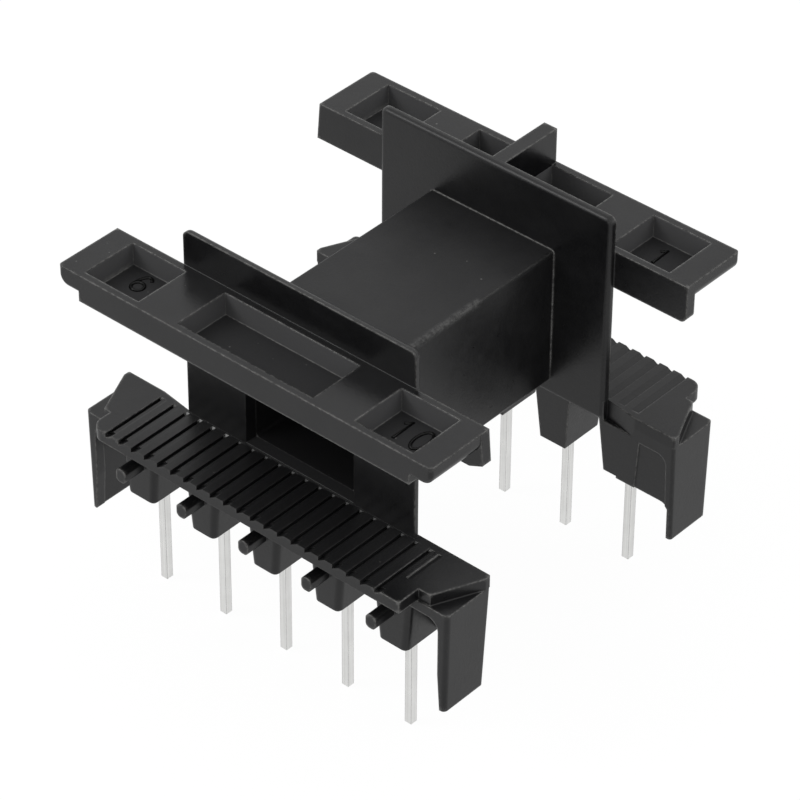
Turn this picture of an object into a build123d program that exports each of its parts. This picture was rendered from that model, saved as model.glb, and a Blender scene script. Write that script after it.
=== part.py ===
"""Horizontal coil former with ten square terminal pins, for a pair of E cores.

Frame: X along the terminal rows, Y along the bore, Z up. The origin lies at the middle of the
footprint, level with the pin tips. The front side is -Y, and the fin is on the back bar, +Y.
"""

from build123d import *
import os

# Terminal pins, on the circuit board's grid
PIN_PITCH = 5.0
PINS_PER_ROW = 5
ROW_SPACING = 20.4
PIN_WIDTH = 0.5
PIN_TIP_CHAMFER = 0.12
PIN_LENGTH = 10.9
PIN_HOLE_CLEARANCE = 0.01
PIN_TOP_CLEARANCE = 0.1

# Bore for the core's centre leg, and the tube round it
BORE_WIDTH = 7.8
BORE_HEIGHT = 7.8
TUBE_WALL = 0.93
TUBE_CORNER_RADIUS = 0.2
BORE_CORNER_RADIUS = 0.2
BORE_LEAD_IN = 0.4
AXIS_HEIGHT = 17.1

# Flanges that close the winding space
FLANGE_WIDTH = 18.0
FLANGE_THICKNESS = 0.5
FLANGE_RISE = 8.95
FLANGE_DROP = 5.85
FLANGE_CORNER_RADIUS = 0.45
FLANGE_EDGE_RADIUS = 0.3
WINDING_LENGTH = 16.72

# Room for the core's yoke, from the bore's axis up to the bar and down to the deck
YOKE_ROOM_ABOVE = 3.9
YOKE_ROOM_BELOW = 4.4

# Pocketed bars above the yokes
BAR_LENGTH = 28.84
BAR_DEPTH = 4.92
BAR_HEIGHT = 2.6
BAR_BODY_THICKNESS = 1.88
BAR_TIP_THICKNESS = 1.3
BAR_TIP_LENGTH = 1.6
BAR_TIP_RADIUS = 0.7
BAR_CORNER_RADIUS = 0.25
SKIRT_THICKNESS = 0.74
SKIRT_RADIUS = 0.45
SKIRT_FLARE = 0.2
SKIRT_CUT_LENGTH = 1.0
SKIRT_CUT_HEIGHT = 0.45
POCKET_RIM = 0.49
POCKET_DEPTH = 1.55
POCKET_END_WALL = 1.74
OUTER_POCKET_LENGTH = 4.3
POCKET_BRIDGE = 3.15
FIN_THICKNESS = 1.0
FIN_SETBACK = 0.1

# Ribbed decks of the terminal blocks
BLOCK_END_REACH = 4.42
DECK_THICKNESS = 0.8
DECK_OVERHANG = 1.55
DECK_ROUND_END_GAP = 1.97
DECK_SQUARE_END_GAP = 2.32
DECK_ROUND_RADIUS = 0.85
DECK_INNER_RADIUS = 0.12
BLOCK_SETBACK = 0.06
HOLLOW_DEPTH = 0.36
HOLLOW_LENGTH = 2.4
DECK_NOTCH_LENGTH = 1.45
DECK_NOTCH_STEP = 0.15
RIB_PITCH = 1.072
RIB_COUNT = 21
RIB_SLOPE_WIDTH = 0.5
RIB_GROOVE_DEPTH = 0.3
RIB_START_MARGIN = 1.22
RIB_INNER_GAP = 0.6
SHORT_GROOVE_GAP = 0.74
SHORT_GROOVE_LENGTH = 2.8
SHORT_GROOVE_WIDTH = 0.25
SHORT_GROOVE_DEPTH = 0.1

# Teeth that hold the pins
TOOTH_DEPTH = 3.83
TOOTH_HEIGHT = 4.65
TOOTH_ROOT_WIDTH = 2.8
TOOTH_FOOT_WIDTH = 1.96
TOOTH_CORNER_RADIUS = 0.4
TOOTH_FRONT_DRAFT = 0.1
TOOTH_TIP_CHAMFER = 0.16
END_TOOTH_EXTRA = 0.25
INNER_DRAFT = 0.34

# Pegs that the wire ends are wound on
PEG_WIDTH = 0.76
PEG_HEIGHT = 0.96
PEG_LENGTH = 1.6
PEG_CORNER_RADIUS = 0.3
PEG_DROP = 1.78

# End walls with their feet, and the straps that join them to the last teeth
END_WALL_THICKNESS = 0.36
LEG_THICKNESS = 0.72
LEG_TIP_THICKNESS = 0.4
LEG_CORNER_RADIUS = 0.3
WALL_CORNER_RADIUS = 0.2
FOOT_HEIGHT = 4.6
FOOT_DRAFT = 0.14
INNER_WALL_THICKNESS = 0.7
INNER_WALL_FILLET = 0.7
STRAP_THICKNESS = 0.7
STRAP_HEIGHT = 0.7
STRAP_CORNER_RADIUS = 0.8
LEDGE_THICKNESS = 0.35

# Shallow panels in the inner walls
PANEL_RECESS = 0.08
PANEL_GAP = 0.1
PANEL_DROP = 0.93
PANEL_MARGIN = 0.62
PANEL_CORNER_RADIUS = 0.7

# Reach of the draft cuts past the faces that they trim
CUT_MARGIN = 1.0

# Levels and planes that follow from the sizes above
inner_face = WINDING_LENGTH / 2
outer_face = inner_face + FLANGE_THICKNESS
block_face = inner_face + BLOCK_SETBACK
bar_bottom = AXIS_HEIGHT + YOKE_ROOM_ABOVE
bar_top = bar_bottom + BAR_HEIGHT
deck_top = AXIS_HEIGHT - YOKE_ROOM_BELOW
deck_bottom = deck_top - DECK_THICKNESS
tooth_bottom = deck_bottom - TOOTH_HEIGHT
tooth_face = inner_face + TOOTH_DEPTH
deck_face = tooth_face + DECK_OVERHANG
pin_reach = (PINS_PER_ROW - 1) * PIN_PITCH / 2
block_reach = pin_reach + BLOCK_END_REACH
round_end = block_reach - DECK_ROUND_END_GAP
square_end = block_reach - DECK_SQUARE_END_GAP
notch_reach = block_reach - DECK_NOTCH_LENGTH
wall_inside = block_reach - END_WALL_THICKNESS
leg_inside = block_reach - LEG_THICKNESS
pin_row = [-pin_reach + PIN_PITCH * index for index in range(PINS_PER_ROW)]
front_row = -ROW_SPACING / 2


with BuildPart() as coil_former:
    # Front flange, a thin plate with rounded corners
    with BuildSketch(Plane.XZ.offset(inner_face)) as flange_outline:
        with Locations((0, AXIS_HEIGHT + (FLANGE_RISE - FLANGE_DROP) / 2)):
            RectangleRounded(FLANGE_WIDTH, FLANGE_RISE + FLANGE_DROP, FLANGE_CORNER_RADIUS)
    extrude(amount=FLANGE_THICKNESS)
    fillet(coil_former.faces().sort_by(Axis.Y)[-1].edges(), FLANGE_EDGE_RADIUS)

    # Front bar, with thin tips and a thicker body, seen from the front
    with BuildSketch(Plane.XZ.offset(outer_face)) as bar_outline:
        with Locations((0, bar_top)):
            Rectangle(BAR_LENGTH, BAR_TIP_THICKNESS, align=(Align.CENTER, Align.MAX))
        fillet(bar_outline.vertices().group_by(Axis.Y)[0], BAR_TIP_RADIUS)
        with Locations((0, bar_top)):
            Rectangle(BAR_LENGTH - 2 * BAR_TIP_LENGTH, BAR_BODY_THICKNESS, align=(Align.CENTER, Align.MAX))
    extrude(amount=BAR_DEPTH)

    # Skirt of the bar, that hangs down beside the flange, rounded at one end and flared at the other
    with BuildSketch(Plane.XZ.offset(outer_face)) as skirt_outline:
        with BuildLine():
            Polyline(
                (-BAR_LENGTH / 2, bar_top),
                (-BAR_LENGTH / 2, bar_bottom),
                (BAR_LENGTH / 2 + SKIRT_FLARE, bar_bottom),
                (BAR_LENGTH / 2, bar_top),
                close=True,
            )
        make_face()
        fillet(skirt_outline.vertices().group_by(Axis.Y)[0].sort_by(Axis.X)[0], SKIRT_RADIUS)
    extrude(amount=SKIRT_THICKNESS)

    # Upright corners at the outer side of the bar
    bar_corners = (
        coil_former.edges()
        .filter_by(Axis.Z)
        .filter_by(lambda edge: abs(abs(edge.center().X) - BAR_LENGTH / 2) < 0.01)
        .group_by(Axis.Y)[0]
    )
    fillet(bar_corners, BAR_CORNER_RADIUS)

    # Three pockets in the top of the bar
    pocket_width = BAR_DEPTH - 2 * POCKET_RIM
    pocket_middle = -(outer_face + BAR_DEPTH / 2)
    outer_pocket_middle = BAR_LENGTH / 2 - POCKET_END_WALL - OUTER_POCKET_LENGTH / 2
    centre_pocket_length = 2 * (outer_pocket_middle - OUTER_POCKET_LENGTH / 2 - POCKET_BRIDGE)
    with BuildSketch(Plane.XY.offset(bar_top)) as pockets:
        with Locations((-outer_pocket_middle, pocket_middle), (outer_pocket_middle, pocket_middle)):
            Rectangle(OUTER_POCKET_LENGTH, pocket_width)
        with Locations((0, pocket_middle)):
            Rectangle(centre_pocket_length, pocket_width)
    extrude(amount=-POCKET_DEPTH, mode=Mode.SUBTRACT)

    # Teeth, narrower towards the foot, with rounded front corners and a broken lower edge
    tooth_draft = INNER_DRAFT * (TOOTH_HEIGHT - TOOTH_TIP_CHAMFER) / (deck_bottom - FOOT_HEIGHT)
    foot_inner_y = block_face + tooth_draft
    foot_outer_y = tooth_face - TOOTH_FRONT_DRAFT
    for pin_x in pin_row:
        outward = END_TOOTH_EXTRA if abs(pin_x) == pin_reach else 0
        shift = outward / 2 if pin_x > 0 else -outward / 2
        for level, width, inner_y, outer_y, inset in (
            (deck_bottom, TOOTH_ROOT_WIDTH, block_face, tooth_face, 0),
            (tooth_bottom + TOOTH_TIP_CHAMFER, TOOTH_FOOT_WIDTH, foot_inner_y, foot_outer_y, 0),
            (tooth_bottom, TOOTH_FOOT_WIDTH, foot_inner_y, foot_outer_y, TOOTH_TIP_CHAMFER),
        ):
            tooth_width = width + outward - 2 * inset
            tooth_length = outer_y - inner_y - 2 * inset
            with BuildSketch(Plane.XY.offset(level)) as tooth_section:
                with Locations((pin_x + shift, -inner_y - inset)):
                    Rectangle(tooth_width, tooth_length, align=(Align.CENTER, Align.MAX))
                fillet(tooth_section.vertices().group_by(Axis.Y)[0], TOOTH_CORNER_RADIUS - inset)
        loft(ruled=True)

    # End walls that run down to the feet, slightly slanted on the outside
    with BuildSketch(Plane.XZ.offset(block_face)) as end_walls:
        with BuildLine():
            Polyline(
                (block_reach, deck_bottom),
                (wall_inside, deck_bottom),
                (wall_inside - FOOT_DRAFT, FOOT_HEIGHT),
                (block_reach - FOOT_DRAFT, FOOT_HEIGHT),
                close=True,
            )
        make_face()
        mirror(about=Plane.YZ)
    extrude(amount=tooth_face - block_face)

    # Legs at the outer corners, that bend in towards the tip
    foot_outside = block_reach - FOOT_DRAFT
    with BuildSketch(Plane.XZ.offset(tooth_face - STRAP_THICKNESS)) as legs:
        with BuildLine():
            Polyline(
                (block_reach, deck_bottom),
                (leg_inside, deck_bottom),
                (leg_inside, tooth_bottom),
                (foot_outside - LEG_TIP_THICKNESS, FOOT_HEIGHT),
                (foot_outside, FOOT_HEIGHT),
                close=True,
            )
        make_face()
        mirror(about=Plane.YZ)
    extrude(amount=STRAP_THICKNESS)

    # Rounded outer corners of the legs
    leg_corners = coil_former.edges().filter_by(
        lambda edge: edge.length > TOOTH_HEIGHT
        and abs(edge.center().Y + tooth_face) < 0.01
        and abs(edge.center().X) > leg_inside + LEG_THICKNESS / 2
        and edge.center().Z < deck_bottom
    )
    fillet(leg_corners, LEG_CORNER_RADIUS)

    # Inner wall from the last tooth to the foot, with a round fillet into the foot
    with BuildSketch(Plane.XZ.offset(block_face)) as inner_walls:
        with BuildLine():
            Polyline(
                (wall_inside, tooth_bottom - INNER_WALL_FILLET),
                (block_reach - END_WALL_THICKNESS / 2, tooth_bottom - INNER_WALL_FILLET),
                (block_reach - END_WALL_THICKNESS / 2, deck_bottom),
                (pin_reach, deck_bottom),
                (pin_reach, tooth_bottom),
                (wall_inside - INNER_WALL_FILLET, tooth_bottom),
            )
            RadiusArc(
                (wall_inside - INNER_WALL_FILLET, tooth_bottom),
                (wall_inside, tooth_bottom - INNER_WALL_FILLET),
                INNER_WALL_FILLET,
            )
        make_face()
        mirror(about=Plane.YZ)
    extrude(amount=INNER_WALL_THICKNESS)

    # Strap that joins the last tooth to the leg, with a round inner corner
    strap_bottom = deck_bottom - STRAP_HEIGHT
    with BuildSketch(Plane.XZ.offset(tooth_face - STRAP_THICKNESS)) as straps:
        with BuildLine():
            Polyline(
                (leg_inside, strap_bottom - STRAP_CORNER_RADIUS),
                (leg_inside, deck_bottom),
                (pin_reach, deck_bottom),
                (pin_reach, strap_bottom),
                (leg_inside - STRAP_CORNER_RADIUS, strap_bottom),
            )
            RadiusArc(
                (leg_inside - STRAP_CORNER_RADIUS, strap_bottom),
                (leg_inside, strap_bottom - STRAP_CORNER_RADIUS),
                STRAP_CORNER_RADIUS,
            )
        make_face()
        mirror(about=Plane.YZ)
    extrude(amount=STRAP_THICKNESS)

    # Ledges that close the block under the notches of the deck
    with BuildSketch(Plane.XY.offset(deck_bottom - LEDGE_THICKNESS)) as ledges:
        with Locations((pin_reach, -block_face)):
            Rectangle(wall_inside - pin_reach, tooth_face - block_face, align=(Align.MIN, Align.MAX))
        mirror(about=Plane.YZ)
    extrude(amount=LEDGE_THICKNESS)

    # Draft of the inner side beside the flange, from the deck down to the feet
    for side in (-1, 1):
        with BuildSketch(Plane.YZ.offset(side * FLANGE_WIDTH / 2)):
            Polygon(
                (-block_face, deck_bottom),
                (-block_face - INNER_DRAFT, FOOT_HEIGHT),
                (-block_face + CUT_MARGIN, FOOT_HEIGHT),
                (-block_face + CUT_MARGIN, deck_bottom),
                align=None,
            )
        extrude(amount=side * (block_reach - FLANGE_WIDTH / 2 + CUT_MARGIN), mode=Mode.SUBTRACT)

    # Rounded inner corners of the end walls
    wall_corners = coil_former.edges().filter_by(
        lambda edge: edge.length > TOOTH_HEIGHT
        and edge.center().Y > -block_face - INNER_DRAFT
        and abs(edge.center().X) > wall_inside
    )
    fillet(wall_corners, WALL_CORNER_RADIUS)

    # Deck of the terminal block, with a slanted notch at each end and an overhang at the front
    with BuildSketch(Plane.XY.offset(deck_bottom)) as deck_outline:
        with BuildLine():
            Polyline(
                (-block_reach, -block_face),
                (block_reach, -block_face),
                (block_reach, -outer_face),
                (notch_reach, -tooth_face + DECK_NOTCH_STEP),
                (square_end, -tooth_face + DECK_NOTCH_STEP),
                (square_end, -deck_face),
                (-round_end, -deck_face),
                (-round_end, -tooth_face + DECK_NOTCH_STEP),
                (-notch_reach, -tooth_face + DECK_NOTCH_STEP),
                (-block_reach, -outer_face),
                close=True,
            )
        make_face()
        fillet(deck_outline.vertices().group_by(Axis.Y)[0].sort_by(Axis.X)[0], DECK_ROUND_RADIUS)
        fillet(deck_outline.vertices().group_by(Axis.Y)[-1], DECK_INNER_RADIUS)
    extrude(amount=DECK_THICKNESS)

    # Hollow beside the flange at the deck's round end
    flange_bottom = AXIS_HEIGHT - FLANGE_DROP
    with BuildSketch(Plane.XY.offset(flange_bottom)) as hollow:
        Polygon(
            (-FLANGE_WIDTH / 2, -inner_face),
            (-FLANGE_WIDTH / 2, -block_face - HOLLOW_DEPTH),
            (-FLANGE_WIDTH / 2 - HOLLOW_LENGTH, -block_face),
            (-FLANGE_WIDTH / 2 - HOLLOW_LENGTH, -inner_face),
            align=None,
        )
    extrude(amount=deck_top - flange_bottom, mode=Mode.SUBTRACT)

    # Panels in the drafted inner walls, between the last tooth and the foot and open below
    wall_plane = Plane(
        origin=(0, -block_face, deck_bottom),
        x_dir=(1, 0, 0),
        z_dir=(0, deck_bottom - FOOT_HEIGHT, -INNER_DRAFT),
    )
    panel_start = pin_reach + END_TOOTH_EXTRA + PANEL_GAP
    panel_end = block_reach - PANEL_MARGIN
    panel_bottom = TOOTH_HEIGHT + INNER_WALL_FILLET
    with BuildSketch(wall_plane) as panels:
        with BuildLine():
            FilletPolyline(
                (panel_start + TOOTH_ROOT_WIDTH / 2, PANEL_DROP),
                (panel_end, PANEL_DROP),
                (panel_end, panel_bottom),
                radius=PANEL_CORNER_RADIUS,
            )
            Polyline(
                (panel_end, panel_bottom),
                (panel_start + TOOTH_FOOT_WIDTH / 2, panel_bottom),
                (panel_start + TOOTH_ROOT_WIDTH / 2, PANEL_DROP),
            )
        make_face()
        mirror(about=Plane.YZ)
    extrude(amount=-PANEL_RECESS, mode=Mode.SUBTRACT)

    # Mouth of the bore, wider than the bore at the sides and the bottom
    with BuildSketch(Plane.XZ.offset(outer_face)) as mouth:
        with Locations((0, AXIS_HEIGHT + BORE_HEIGHT / 2)):
            mouth_height = BORE_HEIGHT + BORE_LEAD_IN
            Rectangle(BORE_WIDTH + 2 * BORE_LEAD_IN, mouth_height, align=(Align.CENTER, Align.MAX))
    with BuildSketch(Plane.XZ.offset(inner_face)) as throat:
        with Locations((0, AXIS_HEIGHT)):
            Rectangle(BORE_WIDTH, BORE_HEIGHT)
    loft(mode=Mode.SUBTRACT)

    # Pegs under the overhang, one in front of each tooth
    with BuildSketch(Plane.XZ.offset(tooth_face - TOOTH_CORNER_RADIUS)) as peg_section:
        with Locations(*[(pin_x, deck_bottom - PEG_DROP) for pin_x in pin_row]):
            RectangleRounded(PEG_WIDTH, PEG_HEIGHT, PEG_CORNER_RADIUS)
    extrude(amount=PEG_LENGTH + TOOTH_CORNER_RADIUS)

    # Grooves between the ribs of the deck, steep on one side and sloped on the other
    groove_y = -(inner_face + RIB_INNER_GAP)
    with BuildSketch(Plane.XZ.offset(-groove_y)) as rib_grooves:
        for index in range(RIB_COUNT):
            groove_x = -round_end + RIB_START_MARGIN + RIB_PITCH * index
            Polygon(
                (groove_x, deck_top),
                (groove_x, deck_top - RIB_GROOVE_DEPTH),
                (groove_x + RIB_SLOPE_WIDTH, deck_top),
                align=None,
            )
    extrude(amount=deck_face + groove_y, mode=Mode.SUBTRACT)

    # Short shallow groove beside the last rib
    short_groove_x = -round_end + RIB_START_MARGIN + RIB_PITCH * (RIB_COUNT - 1) + SHORT_GROOVE_GAP
    with BuildSketch(Plane.XZ.offset(-groove_y)) as short_groove:
        Polygon(
            (short_groove_x, deck_top),
            (short_groove_x, deck_top - SHORT_GROOVE_DEPTH),
            (short_groove_x + SHORT_GROOVE_WIDTH, deck_top),
            align=None,
        )
    extrude(amount=SHORT_GROOVE_LENGTH, mode=Mode.SUBTRACT)

    # The back side is the front side turned half round
    add(coil_former.part.rotate(Axis.Z, 180))

    # Square tube between the flanges
    with BuildSketch(Plane.XZ.offset(-inner_face)) as tube_section:
        with Locations((0, AXIS_HEIGHT)):
            RectangleRounded(BORE_WIDTH + 2 * TUBE_WALL, BORE_HEIGHT + 2 * TUBE_WALL, TUBE_CORNER_RADIUS)
    extrude(amount=WINDING_LENGTH)

    # Fin on the back bar, level with the flange
    fin_top = AXIS_HEIGHT + FLANGE_RISE
    with BuildSketch(Plane.XY.offset(bar_top - POCKET_DEPTH)) as fin_section:
        with Locations((0, outer_face)):
            Rectangle(FIN_THICKNESS, BAR_DEPTH - FIN_SETBACK, align=(Align.CENTER, Align.MIN))
    extrude(amount=fin_top - bar_top + POCKET_DEPTH)

    # Bore through the tube and both flanges
    with BuildSketch(Plane.XZ.offset(-outer_face)) as bore_section:
        with Locations((0, AXIS_HEIGHT)):
            RectangleRounded(BORE_WIDTH, BORE_HEIGHT, BORE_CORNER_RADIUS)
    extrude(amount=2 * outer_face, mode=Mode.SUBTRACT)

    # Slanted end of the front skirt
    with BuildSketch(Plane.XZ.offset(outer_face)) as skirt_cut:
        Polygon(
            (BAR_LENGTH / 2 + SKIRT_FLARE, bar_bottom),
            (BAR_LENGTH / 2 + SKIRT_FLARE, bar_bottom + SKIRT_CUT_HEIGHT),
            (BAR_LENGTH / 2 + SKIRT_FLARE - SKIRT_CUT_LENGTH, bar_bottom),
            align=None,
        )
    extrude(amount=SKIRT_THICKNESS, mode=Mode.SUBTRACT)

    # Square holes that the pins are pressed into
    hole_width = PIN_WIDTH + 2 * PIN_HOLE_CLEARANCE
    with BuildSketch(Plane.XY.offset(tooth_bottom)) as pin_holes:
        with Locations(*[(x, y) for x in pin_row for y in (front_row, -front_row)]):
            Rectangle(hole_width, hole_width)
    extrude(amount=PIN_LENGTH + PIN_TOP_CLEARANCE - tooth_bottom, mode=Mode.SUBTRACT)

coil_former.part.label = "coil_former"

os.makedirs("parts", exist_ok=True)
export_step(coil_former.part, "parts/coil_former.step")

# Pins, numbered from the back right round to the front right as seen from above
pin_places = [(x, -front_row) for x in reversed(pin_row)] + [(x, front_row) for x in pin_row]
for number, (pin_x, pin_y) in enumerate(pin_places, start=1):
    with BuildPart() as terminal_pin:
        with BuildSketch(Plane.XY.move(Location((pin_x, pin_y, 0)))) as pin_section:
            Rectangle(PIN_WIDTH, PIN_WIDTH)
        extrude(amount=PIN_LENGTH)
        chamfer(terminal_pin.faces().sort_by(Axis.Z)[0].edges(), PIN_TIP_CHAMFER)
    terminal_pin.part.label = f"terminal_pin_{number:02d}"
    export_step(terminal_pin.part, f"parts/terminal_pin_{number:02d}.step")
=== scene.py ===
"""Looks for a horizontal coil former: a charcoal moulding with ten tinned square pins.

Everything is in metres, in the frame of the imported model: X along the pin rows, Y along the bore,
Z up from the pin tips. Zones, pin numbers and grooves give their places in millimetres, and MM
turns them into metres.
"""

import logging
import math
from dataclasses import dataclass
from enum import Enum

import bmesh
import bpy
from mathutils import Matrix, Vector


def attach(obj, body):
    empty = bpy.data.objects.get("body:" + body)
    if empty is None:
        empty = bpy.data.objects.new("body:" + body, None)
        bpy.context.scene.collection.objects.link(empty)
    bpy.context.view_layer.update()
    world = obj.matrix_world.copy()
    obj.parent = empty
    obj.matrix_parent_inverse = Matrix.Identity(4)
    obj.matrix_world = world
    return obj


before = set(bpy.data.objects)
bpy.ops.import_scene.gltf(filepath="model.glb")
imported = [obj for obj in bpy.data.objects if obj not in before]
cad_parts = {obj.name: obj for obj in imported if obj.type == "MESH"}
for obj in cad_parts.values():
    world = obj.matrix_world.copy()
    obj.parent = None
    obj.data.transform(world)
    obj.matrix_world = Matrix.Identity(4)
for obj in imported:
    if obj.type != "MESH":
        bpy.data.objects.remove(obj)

LOG = logging.getLogger("coil_former")
MM = 0.001
BODY = "root"
MOULDING_NODE = "coil_former"

Colour = tuple[float, float, float]
Point = tuple[float, float, float]
Flat = tuple[float, float]
Span = tuple[float, float]  # the values at which something starts and is complete
Socket = bpy.types.NodeSocket


def arc(middle: Flat, reach: Flat, start: float, end: float, steps: int = 28) -> list[Flat]:
    """Gives points along an elliptic arc.

    Args:
        middle: the ellipse's centre.
        reach: its half-axes along the two directions.
        start: the first angle, in degrees.
        end: the last angle, in degrees.
        steps: how many pieces the arc is cut into.

    Returns:
        The points, one more than the steps.
    """
    points = []
    for step in range(steps + 1):
        turn = math.radians(start + (end - start) * step / steps)
        points.append((middle[0] + reach[0] * math.cos(turn), middle[1] + reach[1] * math.sin(turn)))
    return points


def put_in_scene(name: str, data: bpy.types.ID) -> bpy.types.Object:
    """Makes an object and links it to the scene.

    Args:
        name: the object's name.
        data: its mesh, curve, lamp or camera.

    Returns:
        The object.
    """
    thing = bpy.data.objects.new(name, data)
    bpy.context.scene.collection.objects.link(thing)
    return thing


def dress_node(piece: bpy.types.Object, material: bpy.types.Material) -> None:
    """Gives a carried-over node its one material."""
    piece.data.materials.clear()
    piece.data.materials.append(material)


class Digit(Enum):
    """A digit of the pin numbers, by the strokes that draw it."""

    ZERO = 0
    ONE = 1
    SIX = 6

    def strokes(self) -> list[list[Flat]]:
        """Draws the digit round its own middle, in shares of its height.

        Returns:
            The strokes, each a list of points.
        """
        if self is Digit.ZERO:
            return [arc((0.0, 0.0), (0.22, 0.44), 0.0, 360.0)]
        if self is Digit.ONE:
            return [[(-0.17, 0.27), (0.02, 0.44), (0.02, -0.44)]]
        loop = arc((0.0, -0.20), (0.24, 0.24), 0.0, 360.0)
        tail = arc((0.03, -0.17), (0.27, 0.61), 180.0, 48.0)
        return [loop, tail]


@dataclass(frozen=True)
class Noise:
    """A noise texture, by its features in one millimetre, its octaves and how strong the fine ones are."""

    scale: float
    detail: float
    rough: float


class Sheet:
    """The node tree of a material or a world, with short calls to add nodes and join them."""

    def __init__(self, owner: bpy.types.ID) -> None:
        """Starts with an empty tree.

        Args:
            owner: the material or world that the tree belongs to.
        """
        owner.use_nodes = True
        self.tree = owner.node_tree
        self.tree.nodes.clear()

    def put(self, value: object, target: Socket) -> None:
        """Gives an input its value.

        Args:
            value: a socket to join to it, a number, a vector or a colour of three shares.
            target: the input.
        """
        if isinstance(value, bpy.types.NodeSocket):
            self.tree.links.new(value, target)
        elif target.type == "RGBA":
            target.default_value = (*value, 1.0)
        else:
            target.default_value = value

    def add(self, kind: str, **values: object) -> bpy.types.Node:
        """Adds a node and sets its properties and its inputs.

        Args:
            kind: the node's type name, without the leading "ShaderNode".
            **values: properties of the node, or inputs named with spaces as underscores.

        Returns:
            The new node.
        """
        node = self.tree.nodes.new("ShaderNode" + kind)
        for key, value in values.items():
            if hasattr(node, key):
                setattr(node, key, value)
            else:
                self.put(value, node.inputs[key.replace("_", " ")])
        return node

    def maths(self, operation: str, *terms: object, clamp: bool = False) -> Socket:
        """Adds a Math node whose terms are sockets or plain numbers.

        Args:
            operation: the name of the operation.
            *terms: sockets or numbers, in the node's order.
            clamp: whether the result is kept between 0 and 1.

        Returns:
            The node's output.
        """
        node = self.add("Math", operation=operation, use_clamp=clamp)
        for term, target in zip(terms, node.inputs):
            self.put(term, target)
        return node.outputs[0]

    def spread(self, source: Socket, low: float, high: float, start: float, end: float) -> Socket:
        """Maps a value from one range to another, smoothly, and keeps it inside the second.

        Args:
            source: the value.
            low: where the first range starts.
            high: where the first range ends.
            start: the result at low.
            end: the result at high.

        Returns:
            The mapped value.
        """
        node = self.add("MapRange", interpolation_type="SMOOTHSTEP", clamp=True, Value=source)
        for key, value in (("From Min", low), ("From Max", high), ("To Min", start), ("To Max", end)):
            node.inputs[key].default_value = value
        return node.outputs["Result"]

    def noise(self, place: Socket, noise: Noise) -> Socket:
        """Adds a noise texture.

        Args:
            place: the coordinates, in millimetres.
            noise: its scale, detail and roughness.

        Returns:
            The noise's value.
        """
        node = self.add("TexNoise", Scale=noise.scale, Detail=noise.detail, Roughness=noise.rough)
        self.put(place, node.inputs["Vector"])
        return node.outputs[0]

    def blend(self, share: Socket, first: object, second: object) -> Socket:
        """Mixes two colours.

        Args:
            share: how much of the second colour shows.
            first: a colour, or a socket that gives one.
            second: a colour, or a socket that gives one.

        Returns:
            The mixed colour.
        """
        node = self.add("Mix", data_type="RGBA", clamp_factor=True, Factor=share)
        inputs = [socket for socket in node.inputs if socket.type == "RGBA"]
        for socket, colour in zip(inputs, (first, second)):
            self.put(colour, socket)
        return next(socket for socket in node.outputs if socket.type == "RGBA")

    def split(self, source: Socket) -> bpy.types.bpy_prop_collection:
        """Splits a vector or a colour into its parts, by the names X, Y and Z."""
        return self.add("SeparateXYZ", Vector=source).outputs

    def place_mm(self) -> Socket:
        """Gives the object's own coordinates in millimetres."""
        source = self.add("TexCoord").outputs["Object"]
        return self.add("Mapping", Scale=(1 / MM, 1 / MM, 1 / MM), Vector=source).outputs["Vector"]

    def facing_up(self) -> Socket:
        """Gives how far a face looks up: 1 on a level top, 0 on a wall, -1 underneath."""
        return self.split(self.add("NewGeometry").outputs["True Normal"])["Z"]

    def rounded(self, radius: object, samples: int) -> Socket:
        """Gives the normal with the edges rounded, by a radius in metres that may be a socket."""
        return self.add("Bevel", samples=samples, Radius=radius).outputs["Normal"]

    def turned(self, rounded: Socket) -> Socket:
        """Compares a rounded normal with the face's own.

        Args:
            rounded: the rounded normal.

        Returns:
            1 on flat faces, less the nearer an edge is.
        """
        node = self.add("VectorMath", operation="DOT_PRODUCT")
        self.put(rounded, node.inputs[0])
        self.put(self.add("NewGeometry").outputs["True Normal"], node.inputs[1])
        return node.outputs["Value"]

    def viewers(self) -> tuple[Socket, Socket]:
        """Tells who looks at the background.

        Returns:
            1 for the camera's own rays, and 1 for those from shiny or clear surfaces.
        """
        path = self.add("LightPath").outputs
        mirrored = self.maths("MAXIMUM", path["Is Glossy Ray"], path["Is Transmission Ray"])
        return path["Is Camera Ray"], mirrored

    def mix(self, share: Socket, first: bpy.types.Node, second: bpy.types.Node) -> bpy.types.Node:
        """Mixes two shaders.

        Args:
            share: how much of the second shader shows.
            first: a shader's node.
            second: a shader's node.

        Returns:
            The mixing node.
        """
        both = self.add("MixShader", Fac=share)
        self.put(first.outputs[0], both.inputs[1])
        self.put(second.outputs[0], both.inputs[2])
        return both

    def finish(self, shader: bpy.types.Node, output: str = "OutputMaterial") -> None:
        """Joins the last shader to the tree's output, of a material or of the world."""
        self.add(output, Surface=shader.outputs[0])


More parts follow.
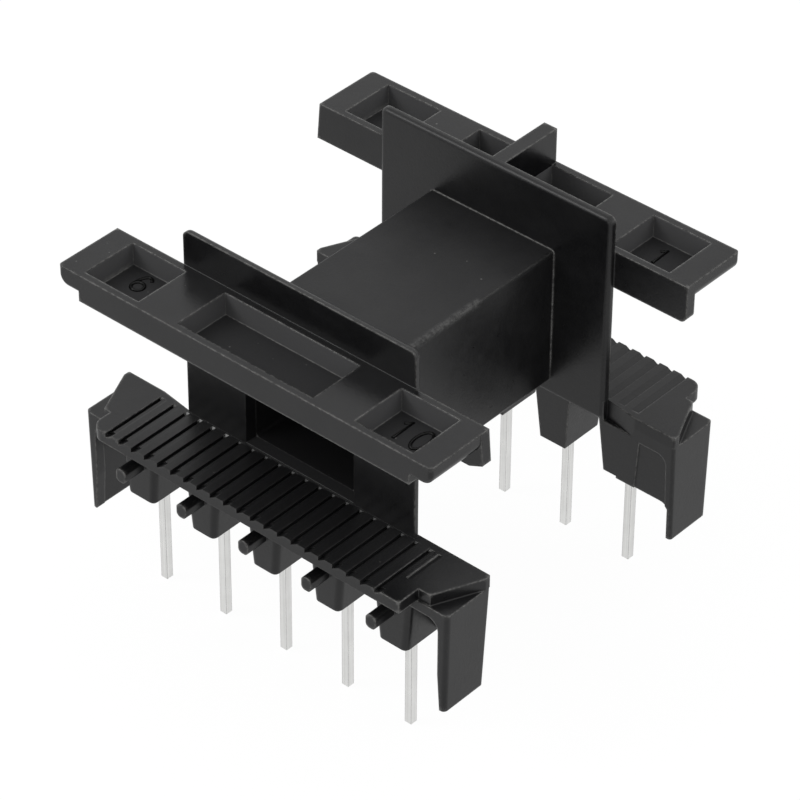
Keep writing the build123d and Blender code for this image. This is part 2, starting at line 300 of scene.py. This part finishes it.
@dataclass(frozen=True)
class Zone:
    """A part of the moulding, as a box that counts on the back side and, by default, on the front."""

    low: Point
    high: Point
    both_sides: bool = True

    def mask(self, sheet: Sheet, place: Socket, soft: float = 0.0) -> Socket:
        """Marks the zone.

        Args:
            sheet: the material's tree.
            place: the coordinates, in millimetres.
            soft: how far the zone fades beyond its box.

        Returns:
            1 inside the box, 0 outside.
        """
        parts = sheet.split(place)
        along = sheet.maths("ABSOLUTE", parts["Y"]) if self.both_sides else parts["Y"]
        inside = None
        for value, low, high in zip((parts["X"], along, parts["Z"]), self.low, self.high):
            if soft:
                above = sheet.spread(value, low - soft, low, 0.0, 1.0)
                below = sheet.spread(value, high, high + soft, 1.0, 0.0)
            else:
                above = sheet.maths("GREATER_THAN", value, low)
                below = sheet.maths("LESS_THAN", value, high)
            both = sheet.maths("MULTIPLY", above, below)
            inside = both if inside is None else sheet.maths("MULTIPLY", inside, both)
        return inside


@dataclass(frozen=True)
class Specks:
    """A few specks of dust, some 0.1 mm across, on the faces that look up."""

    density: float = 1.1
    rim: Span = (0.09, 0.04)
    rarity: float = 0.62
    level_top: float = 0.7

    def mask(self, sheet: Sheet, place: Socket) -> Socket:
        """Marks the specks.

        Args:
            sheet: the material's tree.
            place: the coordinates, in millimetres.

        Returns:
            1 on a speck, 0 elsewhere.
        """
        cells = sheet.add("TexVoronoi", Scale=self.density, Vector=place).outputs
        near = sheet.spread(cells["Distance"], *self.rim, 0.0, 1.0)
        rare = sheet.maths("GREATER_THAN", sheet.split(cells["Color"])["X"], self.rarity)
        upward = sheet.maths("GREATER_THAN", sheet.facing_up(), self.level_top)
        return sheet.maths("MULTIPLY", near, sheet.maths("MULTIPLY", rare, upward))


@dataclass(frozen=True)
class TubeEdgeGlints:
    """A painted speckled highlight along one edge of the tube."""

    edge: Zone = Zone((4.68, -8.3, 21.78), (5.0, 1.5, 22.2), both_sides=False)
    fade: float = 0.35
    noise: Noise = Noise(3.4, 6.0, 0.8)
    reach: Span = (0.38, 0.60)
    strength: float = 0.5

    def mask(self, sheet: Sheet, place: Socket) -> Socket:
        """Marks the painted highlight.

        Args:
            sheet: the material's tree.
            place: the coordinates, in millimetres.

        Returns:
            0 elsewhere, up to the strength where the highlight is painted.
        """
        edge = self.edge.mask(sheet, place, self.fade)
        tube_edge_glints = sheet.spread(sheet.noise(place, self.noise), *self.reach, 0.0, self.strength)
        return sheet.maths("MULTIPLY", tube_edge_glints, edge)


@dataclass(frozen=True)
class EdgeHighlightAndWear:
    """Painted edge highlights with some rubbed edges, found from how far a rounded normal turns and how thin
    the solid is there.

    The turn is a span of the product of the two normals, and thin and blunt are spans of the room
    inside the solid. The painted highlight comes in patches, with the least of it between them, and
    only the quiet share of it shows on the parts that get little of it.
    """

    winding_room: Zone = Zone((-5.3, -1.0, 12.0), (5.3, 8.40, 22.3))
    room_widening: float = 0.9
    edge_samples: int = 8
    turn: Span = (0.985, 0.80)
    thin: Span = (0.95, 0.60)
    depth_samples: int = 4
    inner_share: float = 0.9
    blunt: Span = (0.62, 0.50)
    blunt_share: float = 0.6
    patches: Noise = Noise(3.2, 5.0, 0.7)
    patch: Span = (0.40, 0.58)
    least: float = 0.28
    quiet_share: float = 0.12

    def mask(self, sheet: Sheet, place: Socket, radius: float, pocket: Socket, quiet: Socket) -> Socket:
        """Marks the painted edge highlights and rubbed edges.

        Args:
            sheet: the material's tree.
            place: the coordinates, in millimetres.
            radius: the edges' radius, in metres.
            pocket: the mask of the bars' pockets, where inner corners get the painted highlight too.
            quiet: the mask of the parts that get little painted highlight.

        Returns:
            0 on flat faces, up to 1 on edges.
        """
        room = self.winding_room.mask(sheet, place)
        reach = sheet.maths("MULTIPLY_ADD", room, self.room_widening * radius, radius)
        rounded = sheet.rounded(reach, self.edge_samples)
        bend = sheet.spread(sheet.turned(rounded), *self.turn, 0.0, 1.0)
        solid = sheet.add("AmbientOcclusion", samples=self.depth_samples, inside=True, only_local=True)
        solid.inputs["Distance"].default_value = 2 * radius
        depth = solid.outputs["AO"]
        inner = sheet.maths("MULTIPLY", sheet.maths("MAXIMUM", pocket, room), self.inner_share)
        thin = sheet.maths("MAXIMUM", sheet.spread(depth, *self.thin, 0.0, 1.0), inner)
        blunt = sheet.spread(depth, *self.blunt, 0.0, self.blunt_share)
        edge = sheet.maths("MAXIMUM", sheet.maths("MULTIPLY", bend, thin), blunt)
        patches = sheet.spread(sheet.noise(place, self.patches), *self.patch, self.least, 1.0)
        kept = sheet.spread(quiet, 0.0, 1.0, 1.0, self.quiet_share)
        return sheet.maths("MULTIPLY", edge, sheet.maths("MULTIPLY", patches, kept))


@dataclass(frozen=True)
class MouldedPlastic:
    """Satin charcoal plastic from a spark-eroded mould, with painted edge highlights and rubbed edges,
    painted light in the pockets and the bore, and painted glints at some groove ends and along the tube's
    edge.

    Its colours, roughness and shine go by zones of the moulding. A small piece turns zoned_shine
    off, and has one shine all over.
    """

    name: str = "charcoal_moulding"
    body: Colour = (0.0040, 0.0040, 0.0046)
    bloom: Colour = (0.0100, 0.0100, 0.0106)
    # painted edge highlight, partly rubbed edges: a pale colour laid on the edges
    edge_light_and_rub: Colour = (0.21, 0.207, 0.20)
    rib: Colour = (0.011, 0.011, 0.0115)
    # a pale grey for the specks, and for the painted glint along the tube's edge
    dust_and_glint: Colour = (0.11, 0.11, 0.108)
    # painted glint at the left groove ends beside the flange
    groove_glint: Colour = (0.30, 0.30, 0.30)
    # painted light: a lighter colour inside the bore
    bore_painted_light: Colour = (0.014, 0.014, 0.0145)
    # painted light: pocket walls much lighter than pocket floors, both lighter than the body
    pocket_wall_painted_light: Colour = (0.105, 0.105, 0.107)
    pocket_floor_painted_light: Colour = (0.026, 0.026, 0.027)
    upright: float = 0.5
    cloud_share: float = 0.7
    tone: Span = (0.32, 0.68)
    ior: float = 1.46
    shine: float = 0.46
    zoned_shine: bool = True
    mouth_shine: float = 0.04
    pocket_shine_share: float = 0.6
    roughness: float = 0.31
    bar_roughness: float = 0.22
    tube_roughness: float = 0.46
    rib_roughness: float = 0.42
    pocket_roughness: float = 0.62
    streak_matting: float = 0.16
    grain_matting: float = 0.10
    edge_radius: float = 0.15 * MM
    edge_samples: int = 8
    rib_sharpness: float = 0.8
    grain_height: float = 0.010 * MM
    cloud: Noise = Noise(0.22, 4.0, 0.6)
    streak: Noise = Noise(1.3, 6.0, 0.65)
    grain: Noise = Noise(5.0, 5.0, 0.7)
    pockets: Zone = Zone((-12.8, 9.30, 21.9), (12.8, 13.34, 23.56))
    bars: Zone = Zone((-15.0, 8.87, 20.6), (15.0, 14.0, 27.0))
    tube_top: Zone = Zone((-5.0, -1.0, 21.6), (5.0, 8.35, 22.1))
    ribs: Zone = Zone((-9.2, 8.95, 12.2), (9.5, 14.0, 12.9))
    rib_fade: float = 1.5
    back_deck: Zone = Zone((7.6, 9.2, 12.0), (12.2, 13.3, 12.75), both_sides=False)
    bore_mouth: Zone = Zone((-4.6, 8.37, 12.5), (4.6, 8.84, 21.5))
    bore: Zone = Zone((-3.95, -1.0, 13.1), (3.95, 8.4, 21.1))
    # where the painted glints at the groove ends lie
    groove_glint_zone: Zone = Zone((-9.25, -9.14, 12.50), (-5.1, -8.93, 12.69), both_sides=False)
    specks: Specks = Specks()
    # the painted glint along the tube's edge
    tube_edge_glints: TubeEdgeGlints = TubeEdgeGlints()
    # painted edge highlights, partly rubbed edges
    edge_light_and_wear: EdgeHighlightAndWear = EdgeHighlightAndWear()

    def material(self) -> bpy.types.Material:
        """Makes the material.

        Returns:
            The finished material.
        """
        material = bpy.data.materials.new(self.name)
        sheet = Sheet(material)
        place = sheet.place_mm()
        streak = sheet.noise(place, self.streak)
        grain = sheet.noise(place, self.grain)
        pocket = self.pockets.mask(sheet, place)
        ribs = self.ribs.mask(sheet, place, self.rib_fade)
        radius = sheet.maths("MULTIPLY_ADD", ribs, -self.rib_sharpness * self.edge_radius, self.edge_radius)
        rounded = sheet.rounded(radius, self.edge_samples)
        bump = sheet.add("Bump", Strength=1.0, Distance=self.grain_height, Height=grain, Normal=rounded)
        shader = sheet.add(
            "BsdfPrincipled",
            IOR=self.ior,
            Specular_IOR_Level=self.shine,
            Base_Color=self._colour(sheet, place, streak, pocket, ribs),
            Roughness=self._roughness(sheet, place, (streak, grain), pocket, ribs),
            Normal=bump.outputs["Normal"],
        )
        if self.zoned_shine:
            sheet.put(self._shine(sheet, place, pocket), shader.inputs["Specular IOR Level"])
        sheet.finish(shader)
        return material

    def _colour(
        self, sheet: Sheet, place: Socket, streak: Socket, pocket: Socket, ribs: Socket
    ) -> Socket:
        """Colours the plastic, zone by zone, from the bare body out to the specks, the painted light and the
        painted highlights laid on it.

        Args:
            sheet: the material's tree.
            place: the coordinates, in millimetres.
            streak: the streaks' noise.
            pocket: the mask of the bars' pockets.
            ribs: the mask of the deck's ribs.

        Returns:
            The colour.
        """
        upright = sheet.maths("LESS_THAN", sheet.maths("ABSOLUTE", sheet.facing_up()), self.upright)
        streaks = sheet.maths("MULTIPLY", streak, 1.0 - self.cloud_share)
        tone = sheet.maths("MULTIPLY_ADD", sheet.noise(place, self.cloud), self.cloud_share, streaks)
        quiet = sheet.maths("MAXIMUM", ribs, self.back_deck.mask(sheet, place))
        colour = sheet.blend(sheet.spread(tone, *self.tone, 0.0, 1.0), self.body, self.bloom)
        # Layers: the pockets and the bore get painted light, the groove ends a painted glint, the tube's edge
        # a painted speckled highlight, and the edges painted highlights with some rubbing; the specks are
        # dirt.
        for share, layer in (
            (pocket, sheet.blend(upright, self.pocket_floor_painted_light, self.pocket_wall_painted_light)),
            (ribs, self.rib),
            (self.bore.mask(sheet, place), self.bore_painted_light),
            (self.specks.mask(sheet, place), self.dust_and_glint),
            (self.groove_glint_zone.mask(sheet, place), self.groove_glint),
            (self.tube_edge_glints.mask(sheet, place), self.dust_and_glint),
            (self.edge_light_and_wear.mask(sheet, place, self.edge_radius, pocket, quiet), self.edge_light_and_rub),
        ):
            colour = sheet.blend(share, colour, layer)
        return colour

    def _roughness(
        self, sheet: Sheet, place: Socket, noises: tuple[Socket, Socket], pocket: Socket, ribs: Socket
    ) -> Socket:
        """Sets how matt each zone is, with the noises adding and taking a little.

        Args:
            sheet: the material's tree.
            place: the coordinates, in millimetres.
            noises: the streaks' noise and the grain's.
            pocket: the mask of the bars' pockets, which lie in the bars' own zone.
            ribs: the mask of the deck's ribs.

        Returns:
            The roughness.
        """
        streak, grain = noises
        least = self.roughness - (self.streak_matting + self.grain_matting) / 2
        rough = sheet.maths("MULTIPLY_ADD", streak, self.streak_matting, least)
        rough = sheet.maths("MULTIPLY_ADD", grain, self.grain_matting, rough)
        for mask, change in (
            (self.bars.mask(sheet, place), self.bar_roughness - self.roughness),
            (self.tube_top.mask(sheet, place), self.tube_roughness - self.roughness),
            (ribs, self.rib_roughness - self.roughness),
            (pocket, self.pocket_roughness - self.bar_roughness),
        ):
            rough = sheet.maths("MULTIPLY_ADD", mask, change, rough, clamp=True)
        return rough

    def _shine(self, sheet: Sheet, place: Socket, pocket: Socket) -> Socket:
        """Dulls the shine in the bore's mouth and in the pockets.

        Args:
            sheet: the material's tree.
            place: the coordinates, in millimetres.
            pocket: the mask of the bars' pockets.

        Returns:
            The specular level.
        """
        mouth = self.bore_mouth.mask(sheet, place)
        shine = sheet.spread(mouth, 0.0, 1.0, self.shine, self.mouth_shine)
        return sheet.maths("MULTIPLY", shine, sheet.spread(pocket, 0.0, 1.0, 1.0, self.pocket_shine_share))


@dataclass(frozen=True)
class TinnedWire:
    """Bright tin over a drawn square wire, with fine lines along it."""

    name: str = "tinned_wire"
    bright: Colour = (0.99, 0.99, 0.975)
    dull: Colour = (0.84, 0.84, 0.825)
    edge: Colour = (0.36, 0.36, 0.35)
    roughness: float = 0.30
    patch_matting: float = 0.2
    stretch: Point = (11.0, 11.0, 0.10)
    lines: Noise = Noise(1.0, 4.0, 0.6)
    line_share: float = 0.8
    line_height: float = 0.004 * MM
    line_strength: float = 0.6
    patches: Noise = Noise(0.9, 3.0, 0.5)
    tone: Span = (0.35, 0.65)
    edge_radius: float = 0.06 * MM
    edge_samples: int = 6
    turn: Span = (0.985, 0.86)

    def material(self) -> bpy.types.Material:
        """Makes the material.

        Returns:
            The finished material.
        """
        material = bpy.data.materials.new(self.name)
        sheet = Sheet(material)
        place = sheet.place_mm()
        drawn = sheet.add("Mapping", Scale=self.stretch, Vector=place).outputs["Vector"]
        lines = sheet.noise(drawn, self.lines)
        patch = sheet.noise(place, self.patches)
        patches = sheet.maths("MULTIPLY", patch, 1.0 - self.line_share)
        tone = sheet.maths("MULTIPLY_ADD", lines, self.line_share, patches)
        face = sheet.blend(sheet.spread(tone, *self.tone, 0.0, 1.0), self.bright, self.dull)
        rounded = sheet.rounded(self.edge_radius, self.edge_samples)
        near_edge = sheet.spread(sheet.turned(rounded), *self.turn, 0.0, 1.0)
        middle = self.roughness - self.patch_matting / 2
        bump = sheet.add(
            "Bump", Strength=self.line_strength, Distance=self.line_height, Height=lines, Normal=rounded
        )
        sheet.finish(
            sheet.add(
                "BsdfPrincipled",
                Metallic=1.0,
                Base_Color=sheet.blend(near_edge, face, self.edge),
                Roughness=sheet.maths("MULTIPLY_ADD", patch, self.patch_matting, middle, clamp=True),
                Normal=bump.outputs["Normal"],
            )
        )
        return material


@dataclass(frozen=True)
class StageWhite:
    """White table that keeps a faint shadow, and shows evenly in reflections.

    A glow times its share stays under 1, which is white, and the paper's own light adds the rest.
    """

    name: str = "stage_white"
    paper: Colour = (0.62, 0.62, 0.62)
    camera_glow: float = 1.06
    camera_share: float = 0.90
    mirror_glow: float = 0.76
    mirror_share: float = 0.90

    def material(self) -> bpy.types.Material:
        """Makes the material.

        Returns:
            The finished material.
        """
        material = bpy.data.materials.new(self.name)
        sheet = Sheet(material)
        camera, mirrored = sheet.viewers()
        share, strength = (
            sheet.maths("MULTIPLY_ADD", camera, direct, sheet.maths("MULTIPLY", mirrored, reflected))
            for direct, reflected in (
                (self.camera_share, self.mirror_share),
                (self.camera_glow, self.mirror_glow),
            )
        )
        paper = sheet.add("BsdfDiffuse", Color=self.paper)
        glow = sheet.add("Emission", Strength=strength)
        sheet.finish(sheet.mix(share, paper, glow))
        return material


@dataclass
class Moulding:
    """The one black moulding: tube, flanges, bars, fin and terminal blocks."""

    finish: MouldedPlastic

    def dress(self) -> bpy.types.Object:
        """Gives the moulding its plastic.

        Returns:
            The moulding's object.
        """
        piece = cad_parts[MOULDING_NODE]
        dress_node(piece, self.finish.material())
        return piece


@dataclass
class RaisedNumber:
    """A pin number raised from the floor of a pocket, in round strokes."""

    name: str
    digits: tuple[Digit, ...]
    middle: Flat
    floor: float = 22.05
    height: float = 2.0
    spacing: float = 1.45
    stroke: float = 0.11
    roundness: int = 3

    def build(self, plastic: bpy.types.Material) -> bpy.types.Object:
        """Makes the number.

        Args:
            plastic: the numbers' material.

        Returns:
            The number, as one curve object.
        """
        curve = bpy.data.curves.new(self.name, "CURVE")
        curve.dimensions = "3D"
        curve.bevel_depth = self.stroke * MM
        curve.bevel_resolution = self.roundness
        curve.use_fill_caps = True
        for index, digit in enumerate(self.digits):
            shift = (index - (len(self.digits) - 1) / 2) * self.spacing
            for stroke in digit.strokes():
                line = curve.splines.new("POLY")
                line.points.add(len(stroke) - 1)
                for point, (across, up) in zip(line.points, stroke):
                    x = self.middle[0] + shift + across * self.height
                    y = self.middle[1] + up * self.height
                    point.co = (x * MM, y * MM, self.floor * MM, 1.0)
        curve.materials.append(plastic)
        number = put_in_scene(self.name, curve)
        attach(number, BODY)
        return number


@dataclass(frozen=True)
class GrooveSide:
    """How far the grooves of one block are filled.

    The turn is 1 for the front block and -1 for the back one, which is turned half round. The front
    is where the wedges end, the mouth is how far they reach across a groove's top, and the drop is
    how far below the deck they start.
    """

    turn: int
    front: float
    mouth: float
    drop: float


@dataclass
class GrooveRamps:
    """Slim strips that make the decks' grooves narrower and end them in ramps beside the flanges."""

    name: str = "groove_ramps"
    count: int = 21
    pitch: float = 1.072
    first: float = -11.23
    width: float = 0.5
    depth: float = 0.3
    deck_top: float = 12.7
    end: float = -8.96
    rise: float = 0.12
    sink: float = 0.02
    skin: float = 0.004
    sides: tuple[GrooveSide, ...] = (GrooveSide(1, -13.3, 0.28, 0.22), GrooveSide(-1, -13.6, 0.5, 0.06))

    def _wedge(self, shape: bmesh.types.BMesh, side: GrooveSide, left: float) -> None:
        """Adds one long wedge that makes a groove narrower, on its slanted side.

        Args:
            shape: the mesh in hand, whose new faces take its second material.
            side: the block's sizes.
            left: where the groove's upright side is.
        """
        top = self.deck_top - self.skin
        profile = (
            (left - self.sink, self.deck_top - side.drop),
            (left + side.mouth, top),
            (left + self.width + self.sink, top),
            (left + self.width + self.sink, top - self.skin),
            (left - self.sink, self.deck_top - self.depth - self.skin),
        )
        ends = [
            [shape.verts.new((side.turn * x * MM, side.turn * y * MM, z * MM)) for x, z in profile]
            for y in (self.end, side.front)
        ]
        for near in range(len(profile)):
            far = (near + 1) % len(profile)
            face = shape.faces.new((ends[0][near], ends[0][far], ends[1][far], ends[1][near]))
            face.material_index = 1
        for end in ends:
            shape.faces.new(end).material_index = 1

    def _ramp(self, shape: bmesh.types.BMesh, side: GrooveSide, left: float) -> None:
        """Adds one short ramp that ends a groove beside the flange.

        Args:
            shape: the mesh in hand.
            side: the block's sizes.
            left: where the groove's upright side is.
        """
        low = self.deck_top - self.rise
        narrow = self.width * (1 - self.rise / self.depth)
        outline = (
            (left - self.sink, self.end + self.sink, self.deck_top),
            (left + self.width, self.end + self.sink, self.deck_top),
            (left + narrow, self.end - self.rise, low),
            (left - self.sink, self.end - self.rise, low),
            (left - self.sink, self.end + self.sink, low - self.sink),
            (left + narrow, self.end + self.sink, low - self.sink),
        )
        top_left, top_right, toe_right, toe_left, back_left, back_right = (
            shape.verts.new((side.turn * x * MM, side.turn * y * MM, z * MM)) for x, y, z in outline
        )
        for corners in (
            (top_left, top_right, toe_right, toe_left),
            (toe_left, toe_right, back_right, back_left),
            (back_left, back_right, top_right, top_left),
            (top_left, toe_left, back_left),
            (top_right, back_right, toe_right),
        ):
            shape.faces.new(corners)

    def build(self, plastic: bpy.types.Material, without_edge_light: bpy.types.Material) -> bpy.types.Object:
        """Makes the strips of both blocks.

        Args:
            plastic: the moulding's material, for the ramps.
            without_edge_light: the same plastic without painted edge highlights or rubbed edges, for the
                wedges.

        Returns:
            The strips, as one mesh object.
        """
        shape = bmesh.new()
        for side in self.sides:
            for index in range(self.count):
                left = self.first + self.pitch * index
                self._wedge(shape, side, left)
                self._ramp(shape, side, left)
        bmesh.ops.recalc_face_normals(shape, faces=shape.faces)
        mesh = bpy.data.meshes.new(self.name)
        shape.to_mesh(mesh)
        shape.free()
        mesh.materials.append(plastic)
        mesh.materials.append(without_edge_light)
        ramps = put_in_scene(self.name, mesh)
        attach(ramps, BODY)
        return ramps


@dataclass
class TerminalPins:
    """The two rows of square pins."""

    finish: TinnedWire
    prefix: str = "terminal_pin_"

    def dress(self) -> list[bpy.types.Object]:
        """Gives every pin its tin.

        Returns:
            The pins' objects.
        """
        tin = self.finish.material()
        pins = [piece for name, piece in sorted(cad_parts.items()) if name.startswith(self.prefix)]
        for pin in pins:
            dress_node(pin, tin)
        return pins


@dataclass
class PhotoCamera:
    """The camera, at the angle, distance and framing of the photograph."""

    name: str = "photo_camera"
    azimuth: float = 41.191
    elevation: float = 37.707
    roll: float = 0.364
    distance: float = 249.031 * MM
    lens_mm: float = 186.19
    sensor_mm: float = 36.0
    aim: Point = (0.0, 0.0, 12.0 * MM)
    shift_right: float = 0.058 * MM
    shift_up: float = 0.855 * MM
    clip: Span = (0.01, 20.0)

    def build(self) -> bpy.types.Object:
        """Makes the camera and gives it to the scene.

        Returns:
            The camera's object.
        """
        turn, rise, roll = (math.radians(v) for v in (self.azimuth, self.elevation, self.roll))
        back = Vector((math.cos(rise) * math.sin(turn), -math.cos(rise) * math.cos(turn), math.sin(rise)))
        right = Vector((math.cos(turn), math.sin(turn), 0.0))
        up = back.cross(right)
        rolled_right = right * math.cos(roll) + up * math.sin(roll)
        rolled_up = up * math.cos(roll) - right * math.sin(roll)
        target = Vector(self.aim) + rolled_right * self.shift_right + rolled_up * self.shift_up

        data = bpy.data.cameras.new(self.name)
        data.sensor_fit = "HORIZONTAL"
        data.sensor_width = self.sensor_mm
        data.lens = self.lens_mm
        data.clip_start, data.clip_end = self.clip
        camera = put_in_scene(self.name, data)
        pose = Matrix((rolled_right, rolled_up, back)).transposed().to_4x4()
        pose.translation = target + back * self.distance
        camera.matrix_world = pose
        bpy.context.scene.camera = camera
        return camera


@dataclass
class Studio:
    """A white table and large soft lamps, under a bright ceiling."""

    table_half: float = 1.2
    table_drop: float = 0.05 * MM
    aim: Point = (0.0, 0.0, 13.0 * MM)
    key_power: float = 0.50
    key_size: float = 0.22
    key_reach: float = 0.50
    key_way: Point = (-0.52, -0.60, 0.61)
    fill_power: float = 0.15
    fill_size: float = 0.25
    fill_place: Point = (0.35, 0.10, 0.20)
    world_strength: float = 0.90
    mirror_strength: float = 0.92
    horizon_strength: float = 0.12
    horizon_top: float = 0.17
    ceiling_start: float = 0.50

    def table(self) -> bpy.types.Object:
        """Makes the table under the pins.

        Returns:
            The table's object.
        """
        mesh = bpy.data.meshes.new("table")
        shape = bmesh.new()
        bmesh.ops.create_grid(shape, x_segments=2, y_segments=2, size=self.table_half)
        shape.to_mesh(mesh)
        shape.free()
        mesh.materials.append(StageWhite().material())
        table = put_in_scene("table", mesh)
        table.location = (0.0, 0.0, -self.table_drop)
        return table

    def lamp(self, name: str, place: Point, size: float, power: float) -> bpy.types.Object:
        """Makes one square soft lamp that faces the object.

        Args:
            name: the lamp's name.
            place: where it hangs.
            size: the length of its side.
            power: its power in watts.

        Returns:
            The lamp's object.
        """
        data = bpy.data.lights.new(name, "AREA")
        data.shape = "SQUARE"
        data.size = size
        data.energy = power
        lamp = put_in_scene(name, data)
        lamp.location = place
        lamp.rotation_mode = "QUATERNION"
        lamp.rotation_quaternion = (Vector(self.aim) - Vector(place)).to_track_quat("-Z", "Y")
        return lamp

    def world(self) -> bpy.types.World:
        """Makes the room: a bright soft ceiling over a dim band at the horizon, white to the camera.

        Returns:
            The world.
        """
        world = bpy.data.worlds.new("room")
        sheet = Sheet(world)
        height = sheet.split(sheet.add("TexCoord").outputs["Generated"])["Z"]
        levels = (self.horizon_strength, self.world_strength)
        ceiling = sheet.spread(height, self.horizon_top, self.ceiling_start, *levels)
        camera, mirrored = sheet.viewers()
        seen = sheet.maths("MAXIMUM", mirrored, camera)
        shown = sheet.maths("MULTIPLY_ADD", mirrored, self.mirror_strength, camera)
        soft, white = (
            sheet.add("Background", Color=(1.0, 1.0, 1.0), Strength=strength) for strength in (ceiling, shown)
        )
        sheet.finish(sheet.mix(seen, soft, white), "OutputWorld")
        bpy.context.scene.world = world
        return world

    def build(self) -> None:
        """Sets the table, the lamps, the room and the plain view transform."""
        bpy.context.scene.view_settings.view_transform = "Standard"
        self.table()
        self.world()
        key_place = Vector(self.key_way).normalized() * self.key_reach + Vector(self.aim)
        self.lamp("key_lamp", tuple(key_place), self.key_size, self.key_power)
        self.lamp("fill_lamp", self.fill_place, self.fill_size, self.fill_power)


PLASTIC = MouldedPlastic()
# The numbers' plastic is plain black, with no painted edge highlight and no painted pocket light.
NUMBER_BLACK: Colour = (0.003, 0.003, 0.003)
NUMBER_PLASTIC = MouldedPlastic(
    name="number_moulding",
    edge_light_and_rub=NUMBER_BLACK,
    pocket_floor_painted_light=NUMBER_BLACK,
    pocket_wall_painted_light=NUMBER_BLACK,
    pocket_roughness=0.25,
    shine=0.276,
    zoned_shine=False,
)
# The wedges' plastic: its painted edge highlight and its painted glint take the ribs' colour, so they show
# none.
GROOVE_PLASTIC = MouldedPlastic(
    name="groove_moulding", edge_light_and_rub=PLASTIC.rib, dust_and_glint=PLASTIC.rib, edge_radius=0.03 * MM, zoned_shine=False
)
PIN_NUMBERS = (
    RaisedNumber("pin_number_1", (Digit.ONE,), (10.0, 11.9), height=1.7),
    RaisedNumber("pin_number_6", (Digit.SIX,), (-10.95, -10.45), height=1.7),
    RaisedNumber("pin_number_10", (Digit.ONE, Digit.ZERO), (10.35, -10.7)),
)


def main() -> None:
    """Builds the scene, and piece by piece."""
    logging.basicConfig(level=logging.INFO, format="%(message)s")
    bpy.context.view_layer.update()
    PhotoCamera().build()
    LOG.info("camera: set at the photograph's angle")
    Studio().build()
    LOG.info("studio: table, lamps and room")
    moulding = Moulding(PLASTIC).dress()
    LOG.info("%s: dressed, %d faces", moulding.name, len(moulding.data.polygons))
    number_plastic = NUMBER_PLASTIC.material()
    for number in PIN_NUMBERS:
        piece = number.build(number_plastic)
        LOG.info("%s: raised", piece.name)
    ramps = GrooveRamps().build(moulding.data.materials[0], GROOVE_PLASTIC.material())
    LOG.info("%s: %d faces", ramps.name, len(ramps.data.polygons))
    for pin in TerminalPins(TinnedWire()).dress():
        LOG.info("%s: tinned", pin.name)


if __name__ == "__main__":
    main()
